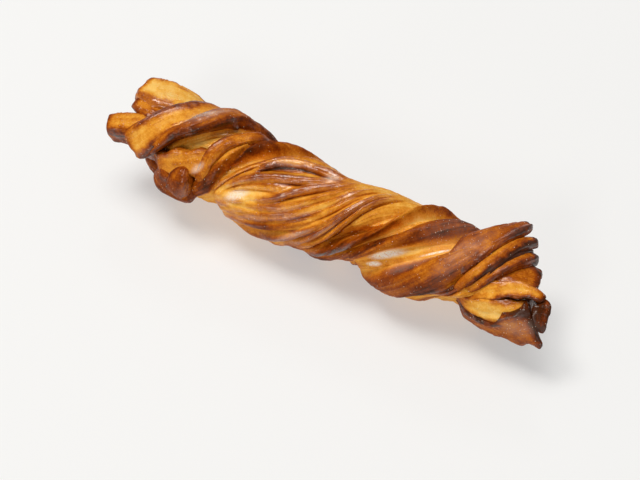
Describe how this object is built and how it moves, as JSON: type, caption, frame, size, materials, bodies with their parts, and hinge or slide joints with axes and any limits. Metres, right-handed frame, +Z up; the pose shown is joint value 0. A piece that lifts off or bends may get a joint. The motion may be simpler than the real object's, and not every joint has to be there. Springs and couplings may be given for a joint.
{
  "type": "twisted puff pastry braid",
  "caption": "Long glazed puff pastry twist of laminated strips wound round each other, with browned ridges, golden layered folds and frayed cut ends.",
  "frame": {"origin": "middle of the pastry's bounding box at the level it rests on", "axes": "+X along the twist towards its frayed tail, +Z up, -Y the shown front"},
  "size_m": [0.1954, 0.0448, 0.044],
  "materials": {
    "crust": "golden brown baked crust with a sugar glaze"
  },
  "bodies": {
    "root": {"pastry": "crust"}
  },
  "joints": []
}
